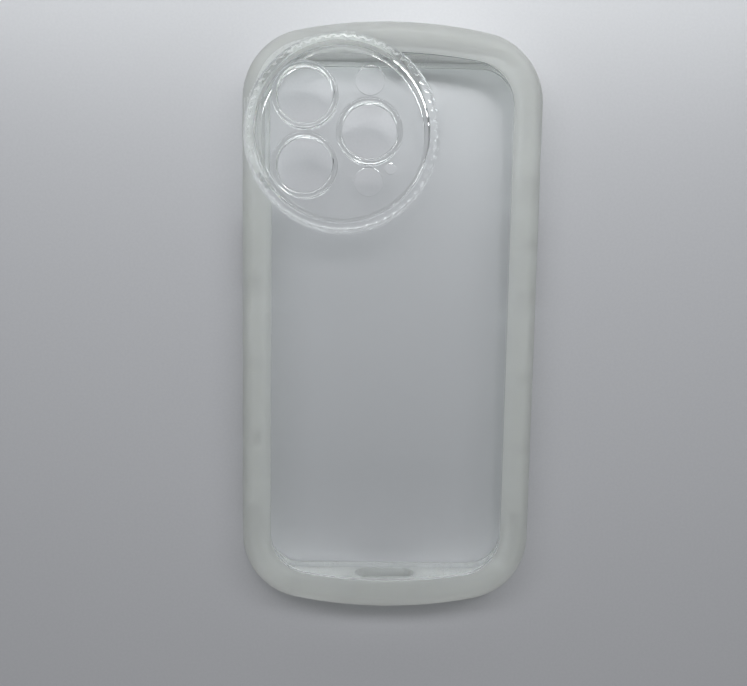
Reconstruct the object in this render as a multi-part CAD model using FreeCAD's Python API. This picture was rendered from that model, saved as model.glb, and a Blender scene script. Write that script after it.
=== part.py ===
"""Translucent phone case: frosted bumper frame, clear back, raised camera ring and three side buttons.

The case rests on its front rim with the back panel up.
Millimetres.  X across the width, Y towards the camera end, Z up out of the back.
The origin is on the resting plane, under the middle of the case.
"""
import FreeCAD, Part
import math
import os

# The phone that the case holds.
phone_length = 146.7
phone_width = 71.5
phone_thickness = 7.65
phone_corner_radius = 11.0
phone_gap = 0.15
phone_depth_gap = 0.25

# Outside of the bumper frame: straight sides, round corners, gently arched ends.
frame_half_width = 41.25
frame_half_length = 82.5
frame_corner_radius = 19.0
frame_end_radius = 130.0
frame_back_rounding = 3.6
frame_front_rounding = 3.2

# Levels, counted up from the resting plane.
lip_height = 1.5
ceiling_z = lip_height + phone_thickness + phone_depth_gap
panel_thickness = 1.9
panel_top_z = ceiling_z + panel_thickness
frame_step = 0.4
frame_top_z = panel_top_z + frame_step
frame_edge_break = 0.2

# Front lip that holds the glass side of the phone.
lip_overhang = 1.3
lip_chamfer = 0.7

# Window in the frame that the clear back panel fills, and the panel's hidden flange.
window_half_width = 32.9
window_half_length = 73.8
window_corner_radius = 12.0
window_end_radius = 135.0
flange_reach = 1.5
flange_thickness = 0.8

# Camera ring: a clear collar of revolution with a ledge for the lens plate.
camera_x = -13.8
camera_y = 51.8
ring_base_radius = 26.7
ring_lip_outer_radius = 25.7
ring_lip_inner_radius = 23.6
ring_inner_radius = 23.4
ring_ledge_radius = 22.5
ring_top_z = 15.5
ring_foot_height = 0.5
ring_lip_rounding = 0.8

# Lens plate inside the ring, with its collars and small openings.
plate_underside_z = ceiling_z + 2.0
plate_thickness = 1.2
plate_top_z = plate_underside_z + plate_thickness
collar_outer_radius = 8.95
collar_bore_radius = 7.35
collar_spigot_radius = 8.0
collar_top_z = 14.7
collar_rounding = 0.6
lens_group_y = 52.4
lens_column_x = -23.8
lens_side_x = -6.4
lens_spacing = 18.4
flash_radius = 3.95
flash_offset_y = 13.6
sensor_radius = 3.9
sensor_offset_y = -13.3
microphone_radius = 1.5
microphone_x = -0.5
microphone_offset_y = -9.7
plate_hole_chamfer = 0.15

# Side buttons: obround pads, each captive in its window by an inner flange.
button_z = lip_height + 0.5 * (ceiling_z - lip_height)
button_height = 3.6
button_clearance = 0.3
button_outer_face = 41.15
button_crown = 0.7
button_flange_reach = 0.8
button_flange_thickness = 0.8
button_flange_gap = 0.3
button_recess_depth = 2.4
button_nub_height = 0.8
button_nub_length_share = 0.5
button_nub_width = 2.0
power_y = 22.5
power_length = 18.0
volume_y = 22.2
volume_pitch = 13.2
volume_length = 10.4

# Openings through the walls.
switch_y = 45.5
switch_length = 8.4
switch_height = 5.2
switch_dish_length = 12.0
switch_dish_height = 9.8
switch_dish_depth = 1.1
port_length = 17.2
port_height = 6.0

# Shock-absorbing hollows along the inside of the long walls.
hollow_count = 3
hollow_depth = 3.4
hollow_height = 5.4
rib_thickness = 3.4
left_rib_start_y = 9.0
left_rib_pitch = 21.0
right_rib_start_y = 4.5
right_rib_pitch = 20.2

# Every cutting tool runs this far past the face that it opens.
overrun = 2.0

cavity_half_width = 0.5 * phone_width + phone_gap
cavity_half_length = 0.5 * phone_length + phone_gap

LEFT = -1
RIGHT = 1


def arched_outline(half_width, half_length, corner_radius, end_radius):
    """Closed wire on Z = 0 with straight sides, round corners and ends arched on a large radius."""
    corner_x = half_width - corner_radius
    end_centre_y = half_length - end_radius
    reach = end_radius - corner_radius
    corner_y = end_centre_y + math.sqrt(reach**2 - corner_x**2)
    swing = math.atan2(corner_y - end_centre_y, corner_x)
    join_x = end_radius * math.cos(swing)
    join_y = end_centre_y + end_radius * math.sin(swing)
    middle_x = corner_x + corner_radius * math.cos(0.5 * swing)
    middle_y = corner_y + corner_radius * math.sin(0.5 * swing)
    edges = []
    for end in (1, -1):
        side_start = FreeCAD.Vector(end * half_width, -end * corner_y, 0)
        side_finish = FreeCAD.Vector(end * half_width, end * corner_y, 0)
        first_middle = FreeCAD.Vector(end * middle_x, end * middle_y, 0)
        first_join = FreeCAD.Vector(end * join_x, end * join_y, 0)
        crest = FreeCAD.Vector(0, end * half_length, 0)
        second_join = FreeCAD.Vector(-end * join_x, end * join_y, 0)
        second_middle = FreeCAD.Vector(-end * middle_x, end * middle_y, 0)
        finish = FreeCAD.Vector(-end * half_width, end * corner_y, 0)
        edges.append(Part.LineSegment(side_start, side_finish).toShape())
        edges.append(Part.Arc(side_finish, first_middle, first_join).toShape())
        edges.append(Part.Arc(first_join, crest, second_join).toShape())
        edges.append(Part.Arc(second_join, second_middle, finish).toShape())
    return Part.Wire(edges)


def arched_block(half_width, half_length, corner_radius, end_radius, bottom_z, top_z):
    """Solid prism on the arched outline between two levels."""
    face = Part.Face(arched_outline(half_width, half_length, corner_radius, end_radius))
    prism = face.extrude(FreeCAD.Vector(0, 0, top_z - bottom_z))
    prism.translate(FreeCAD.Vector(0, 0, bottom_z))
    return prism


def rounded_block(half_width, half_length, corner_radius, bottom_z, top_z):
    """Box about the Z axis with its four upright edges rounded."""
    corner = FreeCAD.Vector(-half_width, -half_length, bottom_z)
    box = Part.makeBox(2 * half_width, 2 * half_length, top_z - bottom_z, corner)
    upright = [edge for edge in box.Edges if abs(edge.tangentAt(0).z) > 0.5]
    return box.makeFillet(corner_radius, upright)


def obround_prism(length, height, depth):
    """Prism with an obround section in YZ, centred on the X axis, from X = 0 to X = depth."""
    radius = 0.5 * height
    half_run = 0.5 * length - radius
    section = [
        Part.LineSegment(
            FreeCAD.Vector(0, -half_run, -radius), FreeCAD.Vector(0, half_run, -radius)
        ),
        Part.Arc(
            FreeCAD.Vector(0, half_run, -radius),
            FreeCAD.Vector(0, half_run + radius, 0),
            FreeCAD.Vector(0, half_run, radius),
        ),
        Part.LineSegment(
            FreeCAD.Vector(0, half_run, radius), FreeCAD.Vector(0, -half_run, radius)
        ),
        Part.Arc(
            FreeCAD.Vector(0, -half_run, radius),
            FreeCAD.Vector(0, -half_run - radius, 0),
            FreeCAD.Vector(0, -half_run, -radius),
        ),
    ]
    face = Part.Face(Part.Wire([curve.toShape() for curve in section]))
    return face.extrude(FreeCAD.Vector(depth, 0, 0))


def side_obround(side, y, length, height, inner_x, outer_x):
    """Obround prism through a long wall, between two distances from the centre plane."""
    prism = obround_prism(length, height, outer_x - inner_x)
    prism.translate(FreeCAD.Vector(inner_x, y, button_z))
    if side == LEFT:
        prism = prism.mirror(FreeCAD.Vector(0, 0, 0), FreeCAD.Vector(1, 0, 0))
    return prism


def camera_cylinder(radius, bottom_z, top_z):
    """Upright cylinder on the camera ring's axis."""
    centre = FreeCAD.Vector(camera_x, camera_y, bottom_z)
    return Part.makeCylinder(radius, top_z - bottom_z, centre)


def revolved(points, x, y):
    """Solid of revolution about an upright axis at x, y from a closed (radius, z) section."""
    corners = [FreeCAD.Vector(radius, 0, z) for radius, z in points]
    face = Part.Face(Part.makePolygon(corners + corners[:1]))
    solid = face.revolve(FreeCAD.Vector(0, 0, 0), FreeCAD.Vector(0, 0, 1), 360)
    solid.translate(FreeCAD.Vector(x, y, 0))
    return solid


def edges_at_level(shape, z):
    """Edges of a shape that lie wholly on one level."""
    tolerance = 1e-4
    chosen = []
    for edge in shape.Edges:
        box = edge.BoundBox
        if abs(box.ZMin - z) < tolerance and abs(box.ZMax - z) < tolerance:
            chosen.append(edge)
    return chosen


def buttons():
    """Name, side, centre and length of each button pad."""
    return [
        ("power_button", LEFT, power_y, power_length),
        ("volume_up_button", RIGHT, volume_y + 0.5 * volume_pitch, volume_length),
        ("volume_down_button", RIGHT, volume_y - 0.5 * volume_pitch, volume_length),
    ]


def rib_rows():
    """Side, first rib and pitch of the hollows in each long wall."""
    return [
        (LEFT, left_rib_start_y, left_rib_pitch),
        (RIGHT, right_rib_start_y, right_rib_pitch),
    ]


def frame_blank():
    """Outer body of the frame, rounded towards the back and the front."""
    blank = arched_block(
        frame_half_width,
        frame_half_length,
        frame_corner_radius,
        frame_end_radius,
        0,
        frame_top_z,
    )
    blank = blank.makeFillet(frame_back_rounding, edges_at_level(blank, frame_top_z))
    return blank.makeFillet(frame_front_rounding, edges_at_level(blank, 0))


def phone_pocket():
    """Space that the phone takes, with the bevelled opening in the front lip."""
    pocket = rounded_block(
        cavity_half_width, cavity_half_length, phone_corner_radius, lip_height, ceiling_z
    )
    opening_half_width = cavity_half_width - lip_overhang
    opening_half_length = cavity_half_length - lip_overhang
    opening_radius = phone_corner_radius - lip_overhang
    opening = rounded_block(
        opening_half_width, opening_half_length, opening_radius, -lip_chamfer, lip_height
    )
    bevel = rounded_block(
        opening_half_width + 2 * lip_chamfer,
        opening_half_length + 2 * lip_chamfer,
        opening_radius + 2 * lip_chamfer,
        -lip_chamfer,
        lip_chamfer,
    )
    bevel = bevel.makeChamfer(2 * lip_chamfer - 0.01, edges_at_level(bevel, lip_chamfer))
    return pocket.fuse([opening, bevel])


def panel_window(bottom_z, reach):
    """Prism on the window's outline, widened all round by reach."""
    return arched_block(
        window_half_width + reach,
        window_half_length + reach,
        window_corner_radius + reach,
        window_end_radius + reach,
        bottom_z,
        frame_top_z + overrun,
    )


def button_window(side, y, length):
    """Window for a pad, with the wider recess for its flange on the phone's side."""
    window = side_obround(
        side,
        y,
        length + 2 * button_clearance,
        button_height + 2 * button_clearance,
        cavity_half_width,
        frame_half_width + overrun,
    )
    widening = 2 * (button_flange_reach + button_clearance)
    recess = side_obround(
        side,
        y,
        length + widening,
        button_height + widening,
        cavity_half_width - overrun,
        cavity_half_width + button_recess_depth,
    )
    return window.fuse(recess)


def switch_opening():
    """Slot over the silent switch, with a shallow dish for a fingertip round it."""
    slot = side_obround(
        RIGHT,
        switch_y,
        switch_length,
        switch_height,
        cavity_half_width - overrun,
        frame_half_width + overrun,
    )
    dish = side_obround(
        RIGHT,
        switch_y,
        switch_dish_length,
        switch_dish_height,
        frame_half_width - switch_dish_depth,
        frame_half_width + overrun,
    )
    floor = [edge for edge in dish.Edges if edge.BoundBox.XMax < frame_half_width]
    dish = dish.makeChamfer(switch_dish_depth, floor)
    return slot.fuse(dish)


def port_opening():
    """Slot through the lower end wall for the charging plug."""
    slot = obround_prism(port_length, port_height, frame_half_length)
    slot.rotate(FreeCAD.Vector(0, 0, 0), FreeCAD.Vector(0, 0, 1), -90)
    slot.translate(FreeCAD.Vector(0, -cavity_half_length + overrun, button_z))
    return slot


def shock_hollows():
    """Hollows between the ribs inside the long walls."""
    tools = []
    for side, start_y, pitch in rib_rows():
        for index in range(hollow_count):
            middle_y = start_y - (index + 0.5) * pitch
            hollow = side_obround(
                side,
                middle_y,
                pitch - rib_thickness,
                hollow_height,
                cavity_half_width - overrun,
                cavity_half_width + hollow_depth,
            )
            tools.append(hollow)
    return tools


def make_bumper_frame():
    """Frosted bumper with its lip, window, openings and shock hollows."""
    frame = frame_blank()
    frame = frame.cut(panel_window(ceiling_z, 0))
    frame = frame.makeChamfer(frame_edge_break, window_rim_edges(frame))
    rebate = panel_window(ceiling_z, flange_reach)
    rebate_top = FreeCAD.Vector(-frame_half_width, -frame_half_length, ceiling_z + flange_thickness)
    above_rebate = Part.makeBox(
        2 * frame_half_width, 2 * frame_half_length, frame_top_z, rebate_top
    )
    tools = [
        phone_pocket(),
        rebate.cut(above_rebate),
        camera_cylinder(ring_base_radius, ceiling_z, frame_top_z + overrun),
        switch_opening(),
        port_opening(),
    ]
    tools += [button_window(side, y, length) for _, side, y, length in buttons()]
    tools += shock_hollows()
    for tool in tools:
        frame = frame.cut(tool)
    return frame


def window_rim_edges(frame):
    """Top edges of the frame round the window."""
    return [
        edge
        for edge in edges_at_level(frame, frame_top_z)
        if edge.BoundBox.XMax <= window_half_width + frame_edge_break
        and edge.BoundBox.XMin >= -window_half_width - frame_edge_break
        and edge.BoundBox.YMax <= window_half_length + frame_edge_break
        and edge.BoundBox.YMin >= -window_half_length - frame_edge_break
    ]


def make_back_panel():
    """Clear panel: a plate in the window and a thin flange under the frame's edge."""
    plate = panel_window(ceiling_z, 0)
    trim_corner = FreeCAD.Vector(-frame_half_width, -frame_half_length, panel_top_z)
    trim = Part.makeBox(2 * frame_half_width, 2 * frame_half_length, frame_top_z, trim_corner)
    plate = plate.cut(trim)
    flange = panel_window(ceiling_z, flange_reach)
    trim.translate(FreeCAD.Vector(0, 0, flange_thickness - panel_thickness))
    flange = flange.cut(trim)
    panel = plate.fuse(flange).removeSplitter()
    return panel.cut(camera_cylinder(ring_base_radius, 0, frame_top_z + overrun))


def make_camera_ring():
    """Raised collar round the camera with a rounded lip and a ledge for the lens plate."""
    section = [
        (ring_ledge_radius, ceiling_z),
        (ring_base_radius, ceiling_z),
        (ring_base_radius, frame_top_z + ring_foot_height),
        (ring_lip_outer_radius, ring_top_z),
        (ring_lip_inner_radius, ring_top_z),
        (ring_inner_radius, plate_top_z),
        (ring_inner_radius, plate_underside_z),
        (ring_ledge_radius, plate_underside_z),
    ]
    ring = revolved(section, camera_x, camera_y)
    return ring.makeFillet(ring_lip_rounding, edges_at_level(ring, ring_top_z))


def lens_positions():
    """Name and centre of each of the three camera lenses."""
    half = 0.5 * lens_spacing
    return [
        ("lens_collar_upper", lens_column_x, lens_group_y + half),
        ("lens_collar_lower", lens_column_x, lens_group_y - half),
        ("lens_collar_side", lens_side_x, lens_group_y),
    ]


def small_openings():
    """Radius and centre of the flash, depth sensor and microphone openings."""
    return [
        (flash_radius, lens_side_x, lens_group_y + flash_offset_y),
        (sensor_radius, lens_side_x, lens_group_y + sensor_offset_y),
        (microphone_radius, microphone_x, lens_group_y + microphone_offset_y),
    ]


def plate_opening(radius, x, y):
    """Cutter for a small opening with a chamfer at the plate's upper face."""
    mouth = radius + plate_hole_chamfer
    section = [
        (0, plate_underside_z - overrun),
        (radius, plate_underside_z - overrun),
        (radius, plate_top_z - plate_hole_chamfer),
        (mouth, plate_top_z),
        (mouth, plate_top_z + overrun),
        (0, plate_top_z + overrun),
    ]
    return revolved(section, x, y)


def make_lens_plate():
    """Clear plate that seats the collars and clears the flash, sensor and microphone."""
    plate = camera_cylinder(ring_inner_radius, plate_underside_z, plate_top_z)
    for _, x, y in lens_positions():
        seat = FreeCAD.Vector(x, y, plate_underside_z - overrun)
        plate = plate.cut(
            Part.makeCylinder(collar_spigot_radius, plate_thickness + 2 * overrun, seat)
        )
    for radius, x, y in small_openings():
        plate = plate.cut(plate_opening(radius, x, y))
    return plate


def make_lens_collar(x, y):
    """Protective collar: a spigot through the plate and a wider rim above it."""
    section = [
        (collar_bore_radius, plate_underside_z),
        (collar_spigot_radius, plate_underside_z),
        (collar_spigot_radius, plate_top_z),
        (collar_outer_radius, plate_top_z),
        (collar_outer_radius, collar_top_z),
        (collar_bore_radius, collar_top_z),
    ]
    collar = revolved(section, x, y)
    return collar.makeFillet(collar_rounding, edges_at_level(collar, collar_top_z))


def make_button(side, y, length):
    """Button pad with its crowned face, its captive flange and the nub that meets the phone."""
    flange_outer = cavity_half_width + button_recess_depth - button_flange_gap
    flange_inner = flange_outer - button_flange_thickness
    pad = obround_prism(length, button_height, button_outer_face - flange_inner)
    face_edges = [
        edge for edge in pad.Edges if edge.BoundBox.XMin > 0.5 * pad.BoundBox.XMax
    ]
    pad = pad.makeFillet(button_crown, face_edges)
    flange = obround_prism(
        length + 2 * button_flange_reach,
        button_height + 2 * button_flange_reach,
        button_flange_thickness,
    )
    nub = obround_prism(length * button_nub_length_share, button_nub_width, button_nub_height)
    nub.translate(FreeCAD.Vector(-button_nub_height, 0, 0))
    button = pad.fuse([flange, nub]).removeSplitter()
    button.translate(FreeCAD.Vector(flange_inner, y, button_z))
    if side == LEFT:
        button = button.mirror(FreeCAD.Vector(0, 0, 0), FreeCAD.Vector(1, 0, 0))
    return button


def export(name, shape):
    """Write one closed solid as its own file."""
    solid = shape.Solids[0]
    if len(shape.Solids) != 1 or not solid.isValid():
        raise RuntimeError(name + " is not one valid solid")
    solid.exportStep("parts/" + name + ".step")
    box = solid.optimalBoundingBox()
    size = "%.2f x %.2f x %.2f" % (box.XLength, box.YLength, box.ZLength)
    print(name, size, "mm,", round(solid.Volume), "mm3")


os.makedirs("parts", exist_ok=True)
export("bumper_frame", make_bumper_frame())
export("back_panel", make_back_panel())
export("camera_ring", make_camera_ring())
export("lens_plate", make_lens_plate())
for collar_name, collar_x, collar_y in lens_positions():
    export(collar_name, make_lens_collar(collar_x, collar_y))
for button_name, button_side, button_y, button_length in buttons():
    export(button_name, make_button(button_side, button_y, button_length))
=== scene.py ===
"""Looks for the translucent phone case: a frosted bumper, a clear back and a clear camera guard.

Every length is in metres, in the same frame as the CAD: X across, Y towards the camera end, Z up.
"""
import math

import bmesh
import bpy
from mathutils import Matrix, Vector


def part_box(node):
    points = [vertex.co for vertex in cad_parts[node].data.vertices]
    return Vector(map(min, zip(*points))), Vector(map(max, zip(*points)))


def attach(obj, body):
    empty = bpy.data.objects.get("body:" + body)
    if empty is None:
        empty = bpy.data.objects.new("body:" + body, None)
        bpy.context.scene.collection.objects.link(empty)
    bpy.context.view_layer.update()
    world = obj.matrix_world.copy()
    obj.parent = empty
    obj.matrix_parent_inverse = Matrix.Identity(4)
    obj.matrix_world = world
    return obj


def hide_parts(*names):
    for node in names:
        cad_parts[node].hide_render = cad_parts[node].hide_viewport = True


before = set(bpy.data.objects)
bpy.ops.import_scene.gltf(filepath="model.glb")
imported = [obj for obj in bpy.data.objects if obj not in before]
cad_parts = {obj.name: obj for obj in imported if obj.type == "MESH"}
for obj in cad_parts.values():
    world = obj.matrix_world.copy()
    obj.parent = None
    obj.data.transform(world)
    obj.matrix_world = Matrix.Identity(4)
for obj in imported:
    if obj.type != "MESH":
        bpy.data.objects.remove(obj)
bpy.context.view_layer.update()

MM = 0.001

# What the CAD model settles.
_, frame_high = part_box("bumper_frame")
panel_low, panel_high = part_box("back_panel")
ring_low, ring_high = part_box("camera_ring")
plate_low, plate_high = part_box("lens_plate")
ring_centre = 0.5 * (ring_low + ring_high)
frame_half_width = frame_high.x
frame_half_length = frame_high.y
frame_top = frame_high.z
ceiling = panel_low.z
panel_top = panel_high.z
plate_top = plate_high.z
plate_radius = 0.5 * (plate_high.x - plate_low.x)
ring_radius = 0.5 * (ring_high.x - ring_low.x)

# Bumper frame, as in the CAD model.
frame_corner_radius = 19.0 * MM
frame_end_radius = 130.0 * MM
frame_back_rounding = 3.6 * MM
frame_front_rounding = 3.2 * MM
lip_height = 1.5 * MM
lip_overhang = 1.3 * MM
lip_chamfer = 0.7 * MM
cavity_half_width = 35.9 * MM
cavity_half_length = 73.5 * MM
cavity_corner_radius = 11.0 * MM
window_corner_radius = 12.0 * MM
window_end_radius = 135.0 * MM
flange_reach = 1.5 * MM
flange_thickness = 0.8 * MM
window_half_width = panel_high.x - flange_reach
window_half_length = panel_high.y - flange_reach
wall_middle = lip_height + 0.5 * (ceiling - lip_height)
edge_break = 0.25 * MM
overrun = 2.0 * MM
play = 0.01 * MM
sheet_break = 0.15 * MM

# Wall openings.
switch_y = 45.5 * MM
switch_length = 8.4 * MM
switch_height = 5.2 * MM
switch_dish_length = 12.0 * MM
switch_dish_height = 9.8 * MM
switch_dish_depth = 1.1 * MM
port_length = 17.2 * MM
port_height = 6.0 * MM
hollow_count = 3
hollow_depth = 3.4 * MM
hollow_height = 5.4 * MM
rib_thickness = 3.4 * MM
rib_rows = ((-1, 9.0 * MM, 21.0 * MM), (1, 4.5 * MM, 20.2 * MM))

# Buttons.
button_bodies = {
    "power_button": "power_pad",
    "volume_up_button": "volume_up_pad",
    "volume_down_button": "volume_down_pad",
}
button_clearance = 0.3 * MM
button_flange_reach = 0.8 * MM
button_flange_thickness = 0.8 * MM
button_recess_depth = 2.4 * MM
button_nub_height = 0.8 * MM
button_nub_width = 2.0 * MM
button_break = 0.22 * MM
button_break_segments = 4
pad_overlap = 0.5 * MM
nub_overlap = 0.25 * MM

# Camera guard.
ring_lip_outer = 25.7 * MM
ring_lip_inner = 23.6 * MM
ring_ledge_radius = 22.5 * MM
ring_foot_height = 0.5 * MM
ring_foot_rounding = 0.4 * MM
ring_lip_rounding = 0.8 * MM
bead_count = 60
bead_depth = 0.3 * MM
bead_steps = 12
collar_nodes = ("lens_collar_upper", "lens_collar_lower", "lens_collar_side")
collar_bore = 7.35 * MM
collar_spigot = 8.0 * MM
collar_foot_rounding = 0.1 * MM
collar_rounding = 0.6 * MM
flash_radius = 3.95 * MM
flash_offset = 13.6 * MM
sensor_radius = 3.9 * MM
sensor_offset = -13.3 * MM
microphone_radius = 1.5 * MM
microphone_x = -0.5 * MM
microphone_offset = -9.7 * MM
plate_hole_rounding = 0.25 * MM

# Light that has met this many walls passes straight on, so clear gaps don't turn black.
CAUGHT_AFTER = 4.5
# What a clear wall lets through, met square on and met along its length.
SHEET_TINT = (0.985, 0.99, 0.99)
EDGE_TINT = (0.6, 0.62, 0.62)
CLEAR_PLASTIC = (0.985, 0.993, 0.99)
SCRATCHES = 0.05

ARC_STEPS = 24
ROUND_STEPS = 8
LATHE_STEPS = 240
HOLE_STEPS = 96
CREASE = 32.0
TURNED_CREASE = 40.0
WELD = 0.002 * MM


# ---------------------------------------------------------------- mesh helpers

def new_object(name, mesh):
    """Object for a mesh, linked to the scene."""
    piece = bpy.data.objects.new(name, mesh)
    bpy.context.scene.collection.objects.link(piece)
    return piece


def mesh_object(name, points, faces):
    """Object from plain points and faces, with its normals turned outwards."""
    mesh = bpy.data.meshes.new(name)
    mesh.from_pydata([tuple(point) for point in points], [], faces)
    build = bmesh.new()
    build.from_mesh(mesh)
    bmesh.ops.recalc_face_normals(build, faces=build.faces)
    build.to_mesh(mesh)
    build.free()
    return new_object(name, mesh)


def arched_outline(half_width, half_length, corner_radius, end_radius):
    """Points round an outline with straight sides, round corners and gently arched ends."""
    corner_x = half_width - corner_radius
    end_y = half_length - end_radius
    corner_y = end_y + math.sqrt((end_radius - corner_radius) ** 2 - corner_x**2)
    swing = math.atan2(corner_y - end_y, corner_x)
    quarter = []
    for step in range(ARC_STEPS + 1):
        angle = swing * step / ARC_STEPS
        x = corner_x + corner_radius * math.cos(angle)
        y = corner_y + corner_radius * math.sin(angle)
        quarter.append((x, y))
    for step in range(1, ARC_STEPS + 1):
        angle = swing + (0.5 * math.pi - swing) * step / ARC_STEPS
        quarter.append((end_radius * math.cos(angle), end_y + end_radius * math.sin(angle)))
    upper = quarter + [(-x, y) for x, y in reversed(quarter[:-1])]
    return upper + [(-x, -y) for x, y in upper]


def straight_outline(half_width, half_length, corner_radius):
    """Points round a rectangle with round corners."""
    points = []
    for quadrant in range(4):
        turn = 0.5 * math.pi * quadrant
        side_x = math.copysign(half_width - corner_radius, math.cos(turn + 0.25 * math.pi))
        side_y = math.copysign(half_length - corner_radius, math.sin(turn + 0.25 * math.pi))
        for step in range(ARC_STEPS + 1):
            angle = turn + 0.5 * math.pi * step / ARC_STEPS
            x = side_x + corner_radius * math.cos(angle)
            y = side_y + corner_radius * math.sin(angle)
            points.append((x, y))
    return points


def stacked_solid(name, layers):
    """Closed solid through level outlines, each given as (outline, z), from bottom to top."""
    count = len(layers[0][0])
    points = [Vector((x, y, z)) for outline, z in layers for x, y in outline]
    faces = []
    for layer in range(len(layers) - 1):
        low = layer * count
        high = low + count
        for index in range(count):
            following = (index + 1) % count
            faces.append((low + index, low + following, high + following, high + index))
    faces.append(tuple(reversed(range(count))))
    faces.append(tuple(range((len(layers) - 1) * count, len(layers) * count)))
    return mesh_object(name, points, faces)


def obround_solid(name, length, height, low, high):
    """Obround prism along X between two distances, centred on Y = 0, Z = 0."""
    radius = 0.5 * height
    run = 0.5 * length - radius
    outline = []
    for end, start in ((1, -0.5 * math.pi), (-1, 0.5 * math.pi)):
        for step in range(ARC_STEPS + 1):
            angle = start + math.pi * step / ARC_STEPS
            outline.append((end * run + radius * math.cos(angle), radius * math.sin(angle)))
    count = len(outline)
    points = [Vector((x, y, z)) for x in (low, high) for y, z in outline]
    faces = [
        (index, (index + 1) % count, count + (index + 1) % count, count + index)
        for index in range(count)
    ]
    faces.append(tuple(reversed(range(count))))
    faces.append(tuple(range(count, 2 * count)))
    return mesh_object(name, points, faces)


def lathe(name, section, centre, steps=LATHE_STEPS, ripple=None):
    """Solid of revolution from a closed (radius, z) section; ripple moves a point out and up."""
    count = len(section)
    points = []
    for step in range(steps):
        angle = 2 * math.pi * step / steps
        for radius, z in section:
            shift = ripple(radius, z, angle) if ripple else 0.0
            x = centre.x + (radius + shift) * math.cos(angle)
            y = centre.y + (radius + shift) * math.sin(angle)
            points.append(Vector((x, y, z + shift)))
    faces = []
    for step in range(steps):
        low = step * count
        high = ((step + 1) % steps) * count
        for index in range(count):
            following = (index + 1) % count
            faces.append((low + index, high + index, high + following, low + following))
    return mesh_object(name, points, faces)


def cylinder(name, radius, centre, low, high, steps=LATHE_STEPS):
    """Upright cylinder between two levels."""
    outline = [
        (
            centre.x + radius * math.cos(2 * math.pi * step / steps),
            centre.y + radius * math.sin(2 * math.pi * step / steps),
        )
        for step in range(steps)
    ]
    return stacked_solid(name, [(outline, low), (outline, high)])


def round_corners(section, radii, steps=ROUND_STEPS):
    """The closed section with each corner that has a radius replaced by an arc."""
    rounded = []
    count = len(section)
    for index, corner in enumerate(section):
        radius = radii.get(index)
        here = Vector(corner)
        if radius is None:
            rounded.append(corner)
            continue
        before = (Vector(section[index - 1]) - here).normalized()
        after = (Vector(section[(index + 1) % count]) - here).normalized()
        half = 0.5 * before.angle(after)
        setback = radius / math.tan(half)
        centre = here + (before + after).normalized() * radius / math.sin(half)
        start = here + before * setback - centre
        finish = here + after * setback - centre
        sweep = start.angle_signed(finish)
        for step in range(steps + 1):
            turn = -sweep * step / steps
            x = centre.x + start.x * math.cos(turn) - start.y * math.sin(turn)
            y = centre.y + start.x * math.sin(turn) + start.y * math.cos(turn)
            rounded.append((x, y))
    return rounded


def applied(piece):
    """Replace the object's mesh by the result of its modifiers."""
    graph = bpy.context.evaluated_depsgraph_get()
    result = bpy.data.meshes.new_from_object(piece.evaluated_get(graph))
    piece.modifiers.clear()
    piece.data = result
    return piece


def cut(piece, tools):
    """Take each tool away from the piece and throw the tool away."""
    for tool in tools:
        step = piece.modifiers.new("cut", "BOOLEAN")
        step.operation = "DIFFERENCE"
        step.solver = "EXACT"
        step.object = tool
        applied(piece)
        bpy.data.objects.remove(tool)
    return piece


def break_edges(piece, width, segments=3, angle=CREASE):
    """Round the sharp edges of a moulded piece and smooth its shading."""
    build = bmesh.new()
    build.from_mesh(piece.data)
    bmesh.ops.remove_doubles(build, verts=build.verts, dist=WELD)
    bmesh.ops.dissolve_degenerate(build, edges=build.edges, dist=WELD)
    build.to_mesh(piece.data)
    build.free()
    bevel = piece.modifiers.new("bevel", "BEVEL")
    bevel.width = width
    bevel.segments = segments
    bevel.limit_method = "ANGLE"
    bevel.angle_limit = math.radians(angle)
    bevel.use_clamp_overlap = True
    bevel.miter_outer = "MITER_ARC"
    bevel.harden_normals = False
    applied(piece)
    return smooth(piece, angle)


def smooth(piece, angle=CREASE):
    """Smooth shading that keeps real corners crisp."""
    piece.data.shade_smooth()
    build = bmesh.new()
    build.from_mesh(piece.data)
    for edge in build.edges:
        if len(edge.link_faces) == 2:
            edge.smooth = edge.calc_face_angle() < math.radians(angle)
    build.to_mesh(piece.data)
    build.free()
    weighted = piece.modifiers.new("weighted", "WEIGHTED_NORMAL")
    weighted.keep_sharp = True
    return applied(piece)


def finish_piece(piece, material, body, node):
    """Give a piece its material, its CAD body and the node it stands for."""
    piece.data.materials.clear()
    piece.data.materials.append(material)
    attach(piece, body)
    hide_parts(node)
    return piece


# ---------------------------------------------------------------- bumper frame

def side_solid(name, side, y, length, height, inner, outer):
    """Obround prism through a long wall, between two distances from the middle plane."""
    low, high = (inner, outer) if side > 0 else (-outer, -inner)
    solid = obround_solid(name, length, height, low, high)
    solid.location = (0, y, wall_middle)
    bpy.context.view_layer.update()
    solid.data.transform(solid.matrix_world)
    solid.location = (0, 0, 0)
    return solid


def inset_outline(inset):
    """Outline of the frame moved inwards."""
    return arched_outline(
        frame_half_width - inset,
        frame_half_length - inset,
        frame_corner_radius - inset,
        frame_end_radius - inset,
    )


def frame_blank():
    """Outside of the frame with its rounded front and back edges."""
    layers = []
    for step in range(2 * ROUND_STEPS + 1):
        angle = 0.5 * math.pi * step / (2 * ROUND_STEPS)
        inset = frame_front_rounding * (1 - math.sin(angle))
        layers.append((inset_outline(inset), frame_front_rounding * (1 - math.cos(angle))))
    for step in range(2 * ROUND_STEPS + 1):
        angle = 0.5 * math.pi * step / (2 * ROUND_STEPS)
        inset = frame_back_rounding * (1 - math.cos(angle))
        height = frame_top - frame_back_rounding * (1 - math.sin(angle))
        layers.append((inset_outline(inset), height))
    return stacked_solid("bumper_frame_skin", layers)


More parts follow.
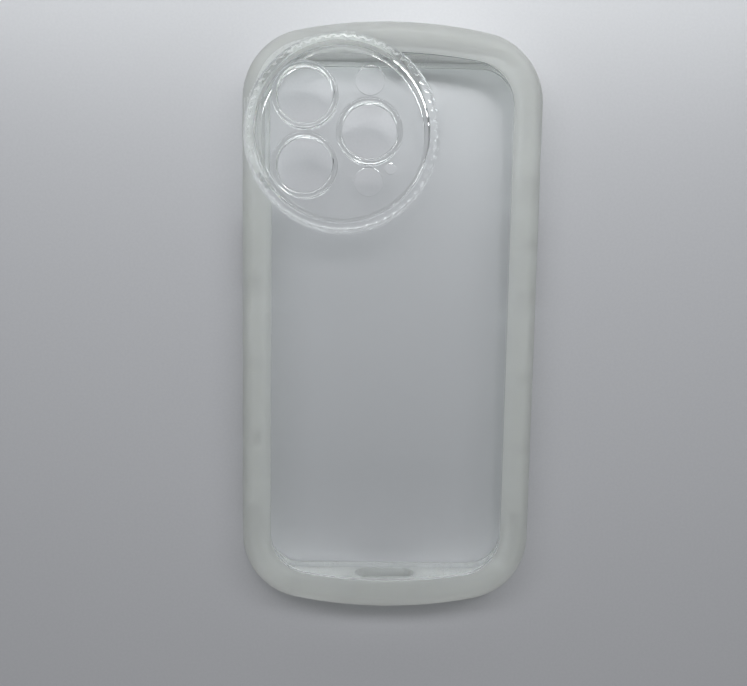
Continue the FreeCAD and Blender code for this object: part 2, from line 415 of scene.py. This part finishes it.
def window_outline(reach):
    """Outline of the window in the frame, widened by reach."""
    return arched_outline(
        window_half_width + reach,
        window_half_length + reach,
        window_corner_radius + reach,
        window_end_radius + reach,
    )


def pocket_tools():
    """Solids that hollow the frame for the phone and the panel."""
    window = window_outline(0)
    rebate = window_outline(flange_reach)
    cavity = straight_outline(cavity_half_width, cavity_half_length, cavity_corner_radius)

    def lip_outline(reach):
        inward = lip_overhang - reach
        return straight_outline(
            cavity_half_width - inward, cavity_half_length - inward, cavity_corner_radius - inward
        )

    opening = lip_outline(0)
    mouth = lip_outline(2 * lip_chamfer)
    return [
        stacked_solid("cutter", [(window, ceiling - edge_break), (window, frame_top + overrun)]),
        stacked_solid("cutter", [(rebate, ceiling), (rebate, ceiling + flange_thickness)]),
        stacked_solid("cutter", [(cavity, lip_height), (cavity, ceiling)]),
        stacked_solid(
            "cutter",
            [
                (mouth, -lip_chamfer),
                (opening, lip_chamfer),
                (opening, lip_height + edge_break),
            ],
        ),
        cylinder("cutter", ring_radius, ring_centre, ceiling, frame_top + overrun),
    ]


def wall_tools():
    """Solids that open the walls: switch, port, button windows and shock hollows."""
    inner = cavity_half_width - overrun
    outer = frame_half_width + overrun
    gap = 2 * (button_clearance - button_flange_reach)
    recess_gap = 2 * button_clearance
    recess_edge = cavity_half_width + button_recess_depth
    tools = [
        side_solid("cutter", 1, switch_y, switch_length, switch_height, inner, outer),
        switch_dish(),
        port_solid(),
    ]
    for name in button_bodies:
        low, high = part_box(name)
        side = math.copysign(1, low.x)
        middle = 0.5 * (low.y + high.y)
        flange_length = high.y - low.y
        flange_height = high.z - low.z
        window = (flange_length + gap, flange_height + gap, inner, outer)
        recess = (flange_length + recess_gap, flange_height + recess_gap, inner, recess_edge)
        tools.append(side_solid("cutter", side, middle, *window))
        tools.append(side_solid("cutter", side, middle, *recess))
    for side, start, pitch in rib_rows:
        hollow = (pitch - rib_thickness, hollow_height, inner, cavity_half_width + hollow_depth)
        for index in range(hollow_count):
            middle = start - (index + 0.5) * pitch
            tools.append(side_solid("cutter", side, middle, *hollow))
    return tools


def switch_dish():
    """Shallow dish round the switch slot, narrower at its floor."""
    floor = frame_half_width - switch_dish_depth
    mouth = (switch_dish_length, switch_dish_height, floor, frame_half_width + overrun)
    dish = side_solid("cutter", 1, switch_y, *mouth)
    narrowed = 1 - 2 * switch_dish_depth / switch_dish_length
    lowered = 1 - 2 * switch_dish_depth / switch_dish_height
    for vertex in dish.data.vertices:
        if vertex.co.x < floor + edge_break:
            vertex.co.y = switch_y + (vertex.co.y - switch_y) * narrowed
            vertex.co.z = wall_middle + (vertex.co.z - wall_middle) * lowered
    return dish


def port_solid():
    """Slot through the lower end wall for the charging plug."""
    slot = obround_solid("cutter", port_length, port_height, 0, frame_half_length)
    slot.rotation_euler = (0, 0, -0.5 * math.pi)
    slot.location = (0, overrun - cavity_half_length, wall_middle)
    bpy.context.view_layer.update()
    slot.data.transform(slot.matrix_world)
    slot.rotation_euler = (0, 0, 0)
    slot.location = (0, 0, 0)
    return slot


def make_frame(material, pocket_painted_light_material):
    """Frosted bumper frame with rounded edges and a smoother phone pocket, whose inner walls and
    ring seat are painted lighter as painted light.
    """
    skin = cut(frame_blank(), pocket_tools() + wall_tools())
    break_edges(skin, edge_break)
    finish_piece(skin, material, "shell", "bumper_frame")
    skin.data.materials.append(pocket_painted_light_material)
    # The pocket faces and the ring seat take the second material. Its colour is painted light:
    # much lighter than the outside, so these shaded inner walls look lit.
    for face in skin.data.polygons:
        across = abs(face.center.x) < cavity_half_width + edge_break
        along = abs(face.center.y) < cavity_half_length + edge_break
        in_pocket = across and along and face.center.z < ceiling + edge_break
        in_seat = (face.center.xy - ring_centre.xy).length < ring_radius + edge_break
        if in_pocket or in_seat:
            face.material_index = 1
    return skin


# ---------------------------------------------------------------- clear pieces

def make_panel(material):
    """Clear back panel with its flange and softened edges."""
    window = window_outline(-play)
    flange = window_outline(flange_reach - play)
    layers = [
        (flange, ceiling),
        (flange, ceiling + flange_thickness),
        (window, ceiling + flange_thickness),
        (window, panel_top),
    ]
    panel = stacked_solid("back_panel_sheet", layers)
    seat = cylinder("cutter", ring_radius + play, ring_centre, 0, frame_top + overrun)
    cut(panel, [seat])
    break_edges(panel, sheet_break)
    return finish_piece(panel, material, "shell", "back_panel")


def make_ring(material):
    """Camera ring with a beaded outer shoulder and a smooth rounded lip."""
    foot = frame_top + ring_foot_height
    top = ring_high.z
    section = [
        (ring_ledge_radius, ring_low.z),
        (ring_radius, ring_low.z),
        (ring_radius, foot),
        (ring_lip_outer, top),
        (ring_lip_inner, top),
        (plate_radius, plate_top),
        (plate_radius, plate_low.z),
        (ring_ledge_radius, plate_low.z),
    ]
    radii = {
        0: sheet_break,
        1: sheet_break,
        2: ring_foot_rounding,
        3: ring_lip_rounding,
        4: ring_lip_rounding,
        7: sheet_break,
    }
    rounded = round_corners(section, radii)
    shoulder = top - 0.4 * ring_lip_rounding

    def beads(radius, z, angle):
        nearness = max(0.0, 1 - abs(z - shoulder) / ring_lip_rounding)
        outside = 1.0 if radius > 0.5 * (ring_lip_outer + ring_lip_inner) else 0.0
        valley = 1 - abs(math.cos(0.5 * bead_count * angle))
        return -bead_depth * nearness * outside * valley

    steps = bead_count * bead_steps
    ring = lathe("camera_ring_guard", rounded, ring_centre, steps, beads)
    smooth(ring, TURNED_CREASE)
    return finish_piece(ring, material, "shell", "camera_ring")


def make_plate(material):
    """Lens plate with seats for the collars and three small openings."""
    radius = plate_radius - play
    plate = cylinder("lens_plate_disc", radius, ring_centre, plate_low.z, plate_top)
    tools = []
    for name in collar_nodes:
        low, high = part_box(name)
        tools.append(plate_cutter(collar_spigot + play, 0.5 * (low + high)))
    side_low, side_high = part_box("lens_collar_side")
    side = 0.5 * (side_low + side_high)
    for radius, x, offset in (
        (flash_radius, side.x, flash_offset),
        (sensor_radius, side.x, sensor_offset),
        (microphone_radius, microphone_x, microphone_offset),
    ):
        tools.append(plate_cutter(radius, Vector((x, side.y + offset, 0))))
    cut(plate, tools)
    break_edges(plate, plate_hole_rounding)
    return finish_piece(plate, material, "shell", "lens_plate")


def plate_cutter(radius, centre):
    """Upright cutter through the lens plate."""
    low = plate_low.z - overrun
    return cylinder("cutter", radius, centre, low, plate_top + overrun, HOLE_STEPS)


def make_collars(material):
    """The three raised lens collars."""
    for name in collar_nodes:
        low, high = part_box(name)
        outer = 0.5 * (high.x - low.x)
        section = [
            (collar_bore, low.z),
            (collar_spigot, low.z),
            (collar_spigot, plate_top),
            (outer, plate_top),
            (outer, high.z),
            (collar_bore, high.z),
        ]
        radii = {index: collar_foot_rounding for index in (0, 1, 3)}
        radii.update({index: collar_rounding for index in (4, 5)})
        centre = 0.5 * (low + high)
        collar = lathe(name + "_rim", round_corners(section, radii), centre)
        smooth(collar, TURNED_CREASE)
        finish_piece(collar, material, "shell", name)


def make_buttons(material):
    """Crowned button pads with their inner flange and nub."""
    for name, body in button_bodies.items():
        low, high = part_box(name)
        side = math.copysign(1, low.x)
        middle = 0.5 * (low.y + high.y)
        inner = min(abs(low.x), abs(high.x))
        outer = max(abs(low.x), abs(high.x))
        flange_inner = inner + button_nub_height
        flange_outer = flange_inner + button_flange_thickness
        length = high.y - low.y
        height = high.z - low.z
        pad_length = length - 2 * button_flange_reach
        pad_height = height - 2 * button_flange_reach
        face = (pad_length, pad_height, flange_outer - pad_overlap, outer)
        hidden = (length, height, flange_inner, flange_outer)
        bump = (0.5 * pad_length, button_nub_width, inner, flange_inner + nub_overlap)
        pad = side_solid(name + "_pad", side, middle, *face)
        flange = side_solid("flange", side, middle, *hidden)
        nub = side_solid("nub", side, middle, *bump)
        for extra in (flange, nub):
            join = pad.modifiers.new("join", "BOOLEAN")
            join.operation = "UNION"
            join.solver = "EXACT"
            join.object = extra
            applied(pad)
            bpy.data.objects.remove(extra)
        break_edges(pad, button_break, button_break_segments)
        finish_piece(pad, material, body, name)


# ---------------------------------------------------------------- materials

# Numbers of the frosted plastic.
FROSTED_INDEX = 1.48
FROSTED_CLEARNESS = 0.4
FROSTED_BLUR = (1.0, 1.0, 0.95)
FROSTED_BLUR_DEPTH = 10 * MM
FROSTED_GRAIN = 5200.0
FROSTED_CLOUDS = 60.0
FROSTED_BUMP = (0.25, 0.03 * MM)

# Numbers of the clear plastic.
CLEAR_INDEX = 1.49
CLEAR_SCRATCHES = 900.0
CLEAR_SMEARS = 70.0
CLEAR_ROUGHNESS = (0.02, 0.05)
SCRATCH_DEPTH = 0.02 * MM

# Numbers of the table top.
TABLE_GRAIN = 1400.0
TABLE_DULL = (0.555, 0.548, 0.577)
TABLE_PALE = (0.575, 0.568, 0.597)
TABLE_ROUGHNESS = 0.355
TABLE_GLOSS = 0.8
TABLE_BUMP = (0.1, 0.05 * MM)

# Facing values between which a tint goes from square on to grazing.
SQUARE_ON, GRAZING = 0.3, 0.75

# Part of a noise's range that is spread over a material's own range.
NOISE_LOW, NOISE_HIGH = 0.3, 0.7


class Nodes:
    """Short hand for building a material's node tree."""

    def __init__(self, name):
        self.material = bpy.data.materials.new(name)
        self.material.use_nodes = True
        self.tree = self.material.node_tree
        self.tree.nodes.clear()

    def add(self, kind, **inputs):
        node = self.tree.nodes.new("ShaderNode" + kind)
        for key, value in inputs.items():
            self.set(node, key.replace("_", " "), value)
        return node

    def set(self, node, key, value):
        socket = node.inputs[key]
        if isinstance(value, bpy.types.NodeSocket):
            self.tree.links.new(value, socket)
        else:
            socket.default_value = value

    def link(self, source, node, key):
        self.tree.links.new(source, node.inputs[key])

    def noise(self, scale, detail=4.0, roughness=0.55):
        coordinates = self.add("TexCoord")
        noise = self.add("TexNoise", Scale=scale, Detail=detail, Roughness=roughness)
        self.link(coordinates.outputs["Object"], noise, "Vector")
        return noise.outputs["Fac"]

    def spread(self, source, low, high):
        node = self.tree.nodes.new("ShaderNodeMapRange")
        self.link(source, node, "Value")
        for key, value in (
            ("From Min", NOISE_LOW),
            ("From Max", NOISE_HIGH),
            ("To Min", low),
            ("To Max", high),
        ):
            node.inputs[key].default_value = value
        return node.outputs["Result"]

    def ramp(self, source, colours):
        node = self.tree.nodes.new("ShaderNodeValToRGB")
        for index, (place, colour) in enumerate(colours):
            stop = node.color_ramp.elements[index]
            stop.position = place
            stop.color = (*colour, 1)
        self.link(source, node, "Fac")
        return node.outputs["Color"]

    def bump(self, source, strength, distance):
        node = self.add("Bump", Strength=strength, Distance=distance)
        self.link(source, node, "Height")
        return node.outputs["Normal"]

    def output(self, shader):
        node = self.tree.nodes.new("ShaderNodeOutputMaterial")
        self.link(shader, node, "Surface")
        return self.material


def passed_on(nodes, shader, square, grazing, paths):
    """The shader, standing aside for rays of the kinds named in paths.

    They pass with the square tint where they meet a wall square on, and with the
    grazing tint where they run along it and would be bent away.
    """
    weight = nodes.add("LayerWeight", Blend=0.5)
    clear = nodes.add("BsdfTransparent")
    tints = ((SQUARE_ON, square), (GRAZING, grazing))
    nodes.set(clear, "Color", nodes.ramp(weight.outputs["Facing"], tints))
    rays = nodes.add("LightPath")
    for path in paths:
        mix = nodes.add("MixShader")
        nodes.link(rays.outputs[path], mix, "Fac")
        nodes.tree.links.new(shader, mix.inputs[1])
        nodes.tree.links.new(clear.outputs["BSDF"], mix.inputs[2])
        shader = mix.outputs["Shader"]
    return shader


def let_out(nodes, shader):
    """The shader, letting out light that has been caught between its walls for too long."""
    rays = nodes.add("LightPath")
    caught = nodes.tree.nodes.new("ShaderNodeMath")
    caught.operation = "GREATER_THAN"
    caught.inputs[1].default_value = CAUGHT_AFTER
    nodes.link(rays.outputs["Ray Depth"], caught, "Value")
    mix = nodes.add("MixShader")
    nodes.link(caught.outputs["Value"], mix, "Fac")
    nodes.tree.links.new(shader, mix.inputs[1])
    nodes.tree.links.new(nodes.add("BsdfTransparent").outputs["BSDF"], mix.inputs[2])
    return mix.outputs["Shader"]


def frosted_material(name, shades, roughness, *tints):
    """Milky, softly translucent polyurethane with a fine matt grain."""
    nodes = Nodes(name)
    cloud = nodes.noise(FROSTED_CLOUDS, 3.0)
    grain = nodes.noise(FROSTED_GRAIN, 2.0)
    dull, pale = shades
    colour = nodes.ramp(cloud, ((NOISE_LOW, dull), (NOISE_HIGH, pale)))
    shader = nodes.add("BsdfPrincipled")
    nodes.set(shader, "Base Color", colour)
    nodes.set(shader, "Roughness", nodes.spread(grain, *roughness))
    nodes.set(shader, "IOR", FROSTED_INDEX)
    nodes.set(shader, "Transmission Weight", FROSTED_CLEARNESS)
    nodes.set(shader, "Subsurface Weight", 1.0)
    nodes.set(shader, "Subsurface Radius", FROSTED_BLUR)
    nodes.set(shader, "Subsurface Scale", FROSTED_BLUR_DEPTH)
    nodes.set(shader, "Normal", nodes.bump(grain, *FROSTED_BUMP))
    surface = passed_on(nodes, shader.outputs["BSDF"], *tints, ("Is Shadow Ray",))
    return nodes.output(surface)


def clear_material(name, *tints):
    """Clear polished plastic that bends light and lets lamps through."""
    nodes = Nodes(name)
    scratch = nodes.noise(CLEAR_SCRATCHES, 6.0, 0.7)
    smear = nodes.noise(CLEAR_SMEARS, 3.0)
    shader = nodes.add("BsdfPrincipled")
    nodes.set(shader, "Base Color", (*CLEAR_PLASTIC, 1))
    nodes.set(shader, "Roughness", nodes.spread(smear, *CLEAR_ROUGHNESS))
    nodes.set(shader, "IOR", CLEAR_INDEX)
    nodes.set(shader, "Transmission Weight", 1.0)
    nodes.set(shader, "Normal", nodes.bump(scratch, SCRATCHES, SCRATCH_DEPTH))
    paths = ("Is Shadow Ray", "Is Diffuse Ray")
    surface = passed_on(nodes, shader.outputs["BSDF"], *tints, paths)
    return nodes.output(let_out(nodes, surface))


def table_material():
    """Pale cool-grey table top with a satin sheen and a fine grain."""
    nodes = Nodes("table_top")
    grain = nodes.noise(TABLE_GRAIN, 4.0)
    shader = nodes.add("BsdfPrincipled")
    colour = nodes.ramp(grain, ((0.35, TABLE_DULL), (0.65, TABLE_PALE)))
    nodes.set(shader, "Base Color", colour)
    nodes.set(shader, "Roughness", TABLE_ROUGHNESS)
    nodes.set(shader, "Specular IOR Level", TABLE_GLOSS)
    nodes.set(shader, "Normal", nodes.bump(grain, *TABLE_BUMP))
    return nodes.output(shader.outputs["BSDF"])


# ---------------------------------------------------------------- staging

# Camera, as worked out from the photograph: lengths of lens and sensor in millimetres.
CAMERA_LENS = 36.0
CAMERA_SENSOR = 36.0
CAMERA_NEAREST = 0.01
CAMERA_PLACE = (-0.0077, 0.0154, 0.2190)
CAMERA_TURN = (-0.0983, -0.0146, 0.0147)

# Reach of the table top from the middle, and strength of the room's own light.
TABLE_REACH = 1.5
ROOM_COLOUR = (0.95, 0.97, 1.0, 1)
ROOM_LIGHT = 0.04
WINDOW_COLOUR = (0.95, 1.0, 1.0)

# How often light may meet a surface: in all, as a reflection, and through see-through walls.
MOST_BOUNCES = 24
MOST_REFLECTIONS = 16
MOST_CROSSINGS = 32

# Lamps: name, place, target, size and power in watts.
CASE_MIDDLE = (0, 0.02, 0)
WINDOW = ("window", (0.0, 0.25, 0.38), CASE_MIDDLE, (0.8, 0.1), 1.75)
KEY = ("key", (0.07, 0.345, 0.70), CASE_MIDDLE, (0.07, 0.07), 0.5)
STRIP = ("strip", (0.0, 0.218, 0.11), CASE_MIDDLE, (0.7, 0.03), 0.17)
FRONT_CARD = ("front_card", (0.0, -0.60, 0.14), (0, 0, 0.01), (0.8, 0.15), 1.05)


def make_floor():
    """Plain pale table top under the case."""
    low, high = -TABLE_REACH, TABLE_REACH
    points = [(low, low, 0), (high, low, 0), (high, high, 0), (low, high, 0)]
    floor = mesh_object("table", points, [(0, 1, 2, 3)])
    floor.data.materials.append(table_material())


def make_camera():
    """Camera close above the case, tipped a little away from its camera end."""
    data = bpy.data.cameras.new("camera")
    data.lens = CAMERA_LENS
    data.sensor_width = CAMERA_SENSOR
    data.clip_start = CAMERA_NEAREST
    camera = new_object("camera", data)
    camera.rotation_mode = "YXZ"
    camera.location = CAMERA_PLACE
    camera.rotation_euler = CAMERA_TURN
    bpy.context.scene.camera = camera


def allow_many_bounces():
    """Let light cross the nested clear walls without being cut short."""
    cycles = bpy.context.scene.cycles
    cycles.max_bounces = MOST_BOUNCES
    cycles.glossy_bounces = MOST_REFLECTIONS
    cycles.transmission_bounces = MOST_BOUNCES
    cycles.transparent_max_bounces = MOST_CROSSINGS


def area_light(name, place, target, size, power):
    """Soft rectangular lamp aimed at a point and kept out of the camera's own view."""
    data = bpy.data.lights.new(name, "AREA")
    data.shape = "RECTANGLE"
    data.size, data.size_y = size
    data.energy = power
    lamp = new_object(name, data)
    lamp.location = place
    aim = Vector(target) - Vector(place)
    lamp.rotation_euler = aim.to_track_quat("-Z", "Y").to_euler()
    lamp.visible_camera = False
    return lamp


def make_world():
    """Dim even light from the room."""
    world = bpy.data.worlds.new("surround")
    world.use_nodes = True
    background = world.node_tree.nodes["Background"]
    background.inputs["Color"].default_value = ROOM_COLOUR
    background.inputs["Strength"].default_value = ROOM_LIGHT
    bpy.context.scene.world = world


def make_lights():
    """A wide lamp beyond the camera end, a small high one, a low strip and a front card."""
    window = area_light(*WINDOW)
    window.data.color = WINDOW_COLOUR
    for lamp in (KEY, STRIP, FRONT_CARD):
        area_light(*lamp)


# Each frosted finish: its two shades, its roughness, and its tints square on and grazing.
frosted = frosted_material(
    "frosted_polyurethane",
    ((0.63, 0.635, 0.625), (0.67, 0.675, 0.665)),
    (0.45, 0.55),
    (0.50, 0.52, 0.51),
    (0.44, 0.46, 0.45),
)
# The pocket finish: its two shades are painted light, far lighter than the outside's, standing in
# for light on the shaded inner walls. Its lower roughness and clearer tints make a smoother inner
# face that lets more lamp light through.
pocket = frosted_material(
    "smooth_pocket_polyurethane_painted_lighter",
    ((0.88, 0.89, 0.88), (0.92, 0.93, 0.92)),
    (0.25, 0.35),
    (0.95, 0.96, 0.955),
    (0.95, 0.96, 0.955),
)
panel_clear = clear_material("clear_sheet", SHEET_TINT, SHEET_TINT)
guard_clear = clear_material("clear_moulding", SHEET_TINT, EDGE_TINT)
make_camera()
make_floor()
make_world()
make_lights()
allow_many_bounces()
make_frame(frosted, pocket)
make_panel(panel_clear)
make_ring(guard_clear)
make_plate(guard_clear)
make_collars(guard_clear)
make_buttons(frosted)
bpy.context.scene.view_settings.view_transform = "Standard"
